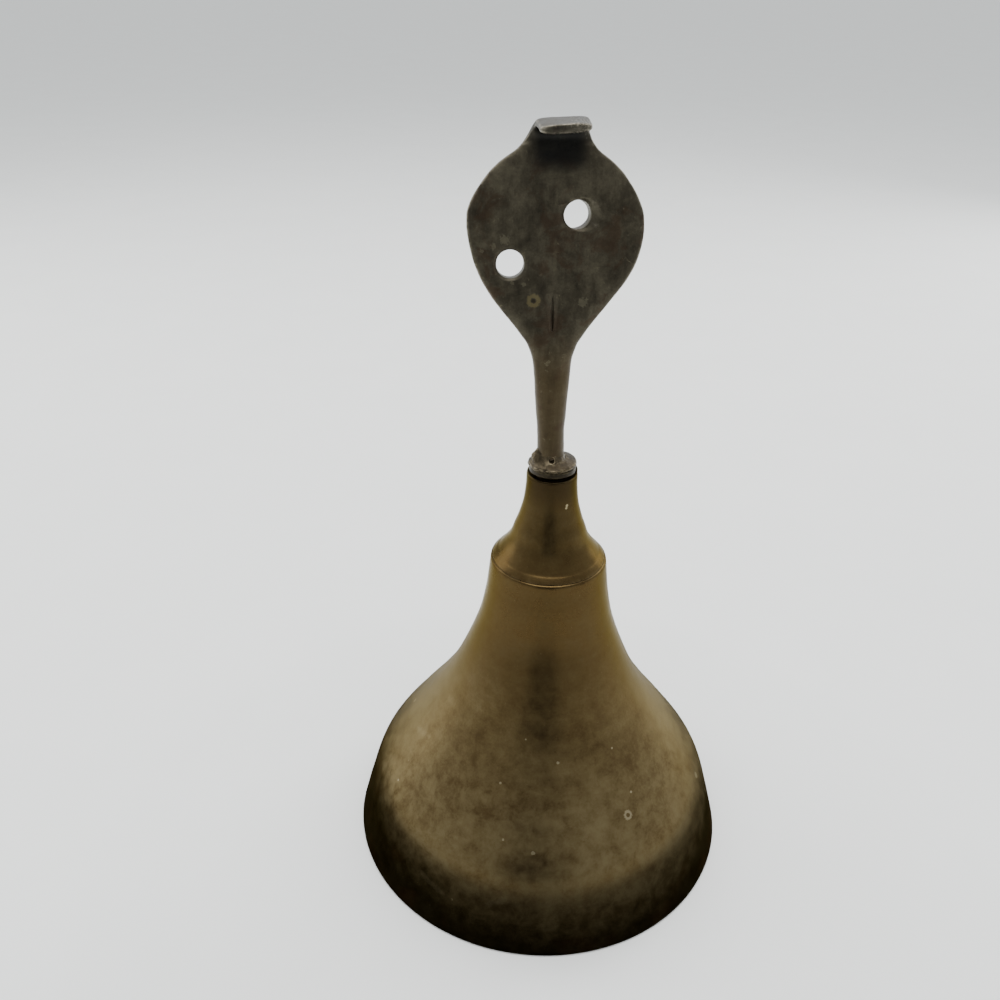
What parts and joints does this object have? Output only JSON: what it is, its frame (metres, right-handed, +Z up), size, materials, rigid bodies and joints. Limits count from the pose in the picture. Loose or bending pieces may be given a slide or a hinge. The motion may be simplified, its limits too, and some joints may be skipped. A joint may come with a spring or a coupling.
{
  "type": "hand bell",
  "caption": "Turned brass hand bell for worship, with a flared mouth, a ridged neck, a pierced cobra-hood handle and a clapper hung inside on a wire ring.",
  "frame": {"origin": "centre of the bell's mouth, on the plane of its rim, where it stands", "axes": "+Z up along the bell's axis to the handle; -Y is the side the cobra hood faces; +X to the right of that side"},
  "size_m": [0.076, 0.076, 0.1428],
  "materials": {
    "bell_brass": "satin aged brass with a brown patina",
    "washer_brass": "dark tarnished brass",
    "flange_brass": "rough filed brass",
    "braze": "lumpy brazing metal, worn bright on its high spots",
    "handle_brass": "satin grey-brown tarnished brass",
    "washer_steel": "dull steel",
    "nut_steel": "dull steel with a brown bloom",
    "eye_brass": "turned brass",
    "link_steel": "dark iron wire",
    "rod_iron": "dark iron wire, rubbed",
    "ball_brass": "cast brass"
  },
  "bodies": {
    "bell": {"bell_body": "bell_brass", "crown_washer": "washer_brass", "foot_flange": "flange_brass", "braze_fillet": "braze", "cobra_handle": "handle_brass", "inner_washer": "washer_steel", "tang_nut": "nut_steel", "eye_nut": "eye_brass"},
    "link": {"hanging_link": "link_steel"},
    "clapper": {"clapper_rod": "rod_iron", "clapper_ball": "ball_brass"}
  },
  "joints": [
    {"name": "link_swing", "type": "hinge", "parent": "bell", "child": "link", "pos_m": [0, 0, 0.0478], "axis": [1, 0, 0], "range_deg": [-8, 8]},
    {"name": "clapper_swing", "type": "hinge", "parent": "link", "child": "clapper", "pos_m": [0, 0, 0.0431], "axis": [0, 1, 0], "range_deg": [-40, 40]}
  ]
}
